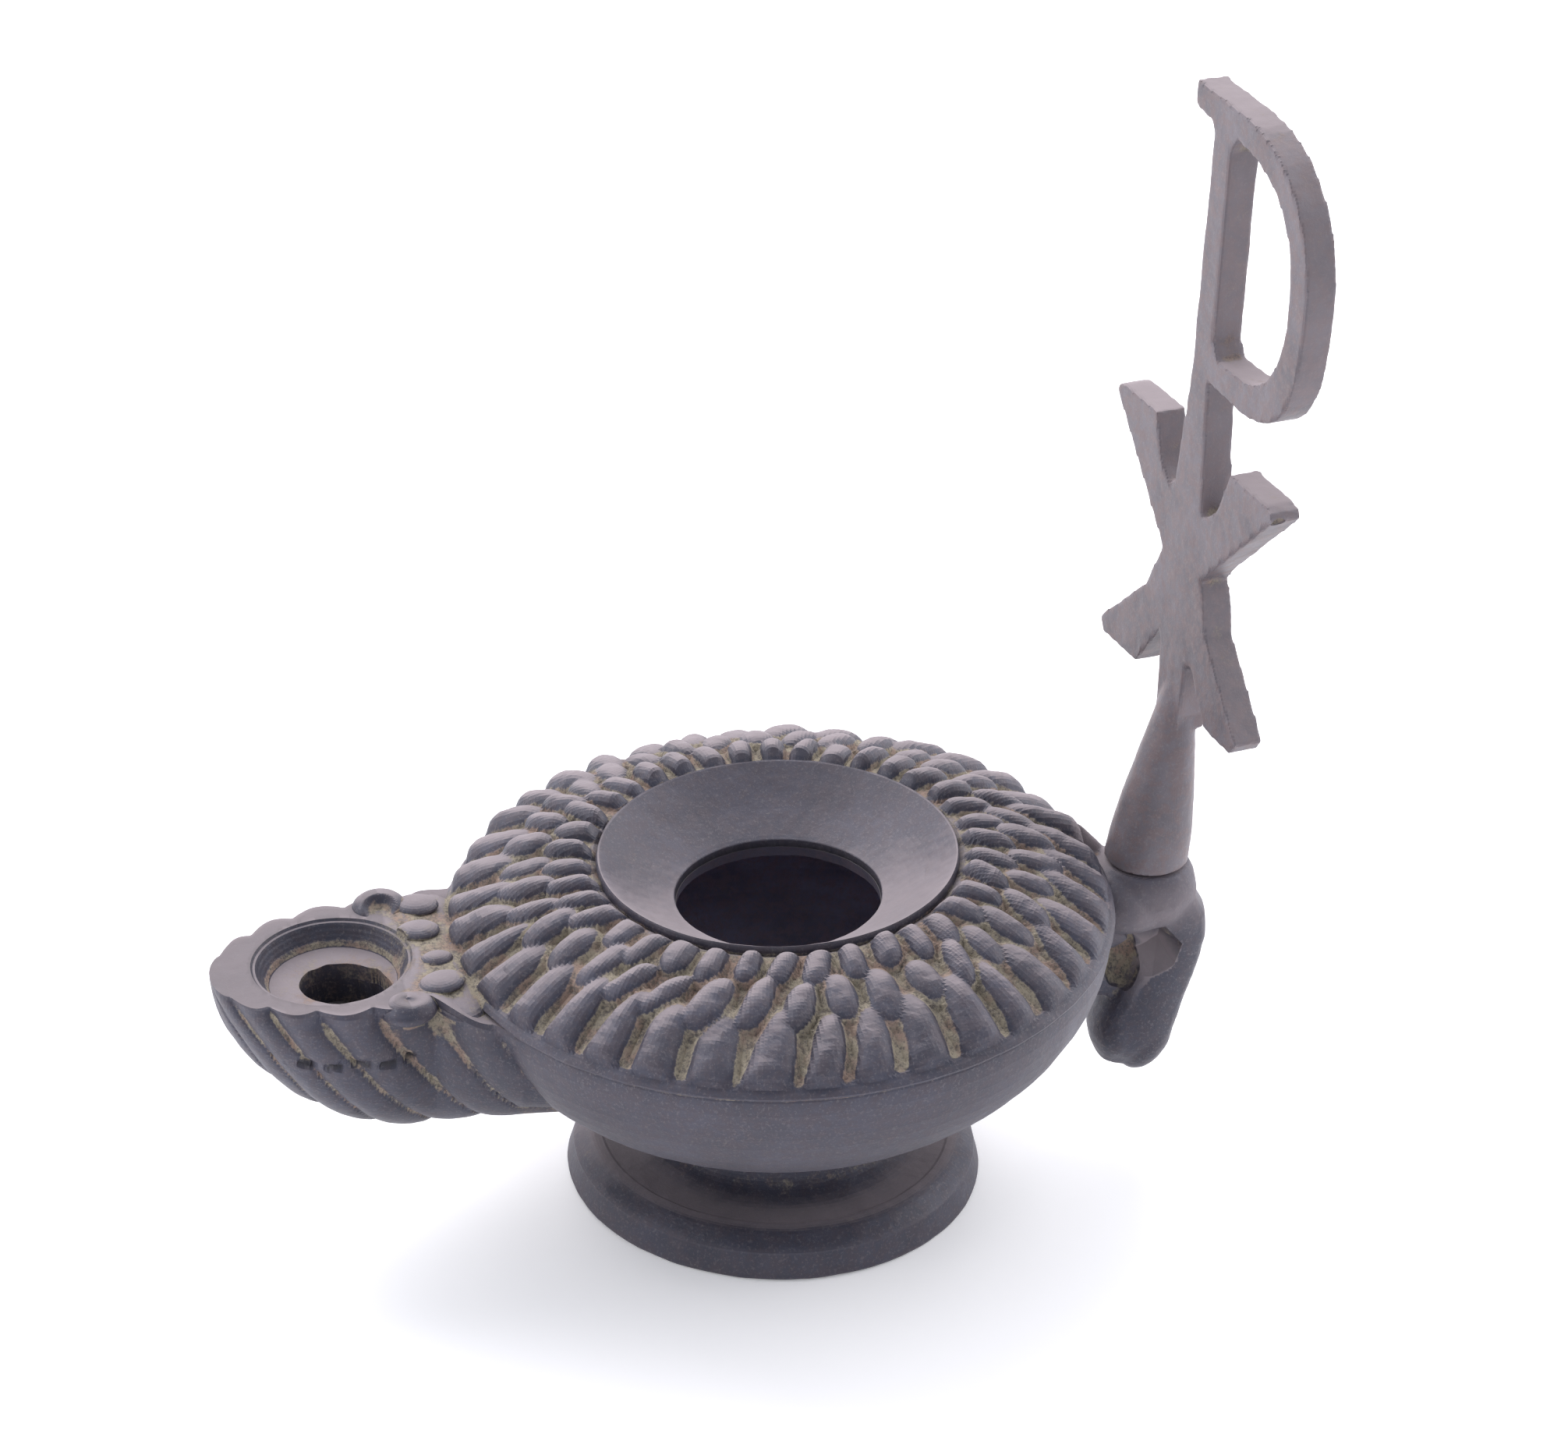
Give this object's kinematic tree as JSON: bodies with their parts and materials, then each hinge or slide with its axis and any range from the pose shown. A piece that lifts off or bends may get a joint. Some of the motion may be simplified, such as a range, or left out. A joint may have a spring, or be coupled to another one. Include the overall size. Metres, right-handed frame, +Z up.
{
  "type": "roman oil lamp",
  "caption": "Cast bronze oil lamp with a bossed round bowl, gadrooned nozzle, flared foot and a curled handle carrying an upright chi-rho finial.",
  "frame": {"origin": "centre of the lamp's outline seen from above, on the surface it stands on", "axes": "+Z up, nozzle towards -X, handle and finial towards +X, +Y across the bowl"},
  "size_m": [0.1264, 0.0828, 0.1401],
  "materials": {
    "lamp_bronze": "dark brown-grey patina with dusty crevices",
    "finial_bronze": "grey-brown patina, filed edges"
  },
  "bodies": {
    "root": {"lamp_body": "lamp_bronze", "chi_rho_finial": "finial_bronze"}
  },
  "joints": []
}
